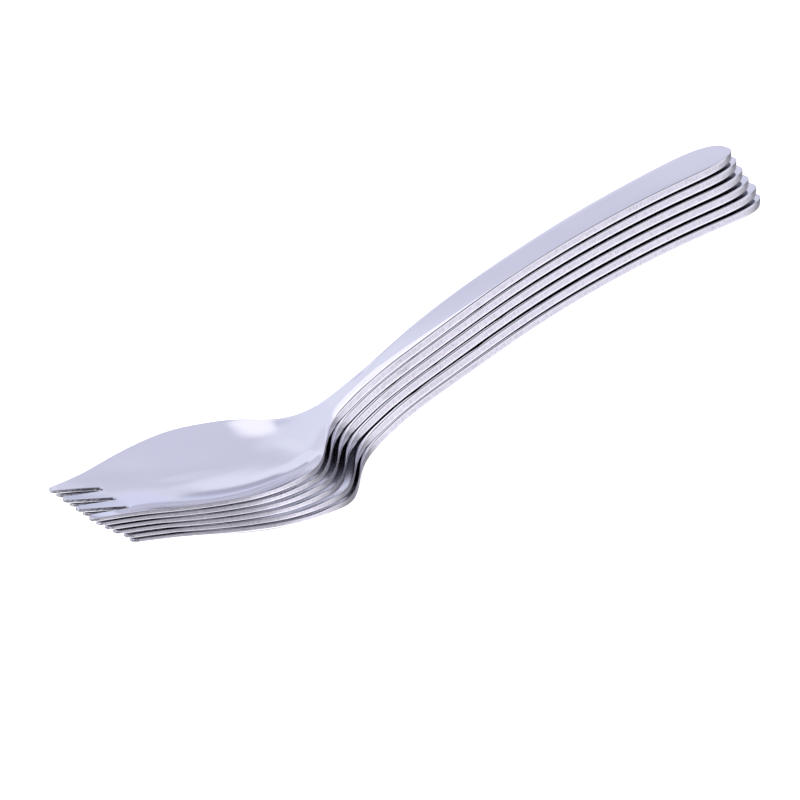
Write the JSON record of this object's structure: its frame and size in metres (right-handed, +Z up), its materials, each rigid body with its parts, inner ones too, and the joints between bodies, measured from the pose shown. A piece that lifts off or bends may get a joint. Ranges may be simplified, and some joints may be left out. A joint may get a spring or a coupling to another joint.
{
  "type": "spork",
  "caption": "Nested stack of stamped stainless sporks, each one sheet with a shallow bowl, short tines, a cranked neck and a slim arched handle, for eating with.",
  "frame": {"origin": "middle of the stack's box, on the table that the stack lies on", "axes": "+X from the tines to the handles, +Z up"},
  "size_m": [0.1932, 0.038, 0.0327],
  "materials": {
    "steel": "polished"
  },
  "bodies": {
    "bottom_spork": {"bottom_spork": "steel"},
    "second_spork": {"second_spork": "steel"},
    "third_spork": {"third_spork": "steel"},
    "fourth_spork": {"fourth_spork": "steel"},
    "fifth_spork": {"fifth_spork": "steel"},
    "top_spork": {"top_spork": "steel"}
  },
  "joints": [
    {"name": "second_lift", "type": "slide", "parent": "bottom_spork", "child": "second_spork", "axis": [0, 0, 1], "range_m": [0, 0.04]},
    {"name": "third_lift", "type": "slide", "parent": "second_spork", "child": "third_spork", "axis": [0, 0, 1], "range_m": [0, 0.04]},
    {"name": "fourth_lift", "type": "slide", "parent": "third_spork", "child": "fourth_spork", "axis": [0, 0, 1], "range_m": [0, 0.04]},
    {"name": "fifth_lift", "type": "slide", "parent": "fourth_spork", "child": "fifth_spork", "axis": [0, 0, 1], "range_m": [0, 0.04]},
    {"name": "top_lift", "type": "slide", "parent": "fifth_spork", "child": "top_spork", "axis": [0, 0, 1], "range_m": [0, 0.04]}
  ]
}
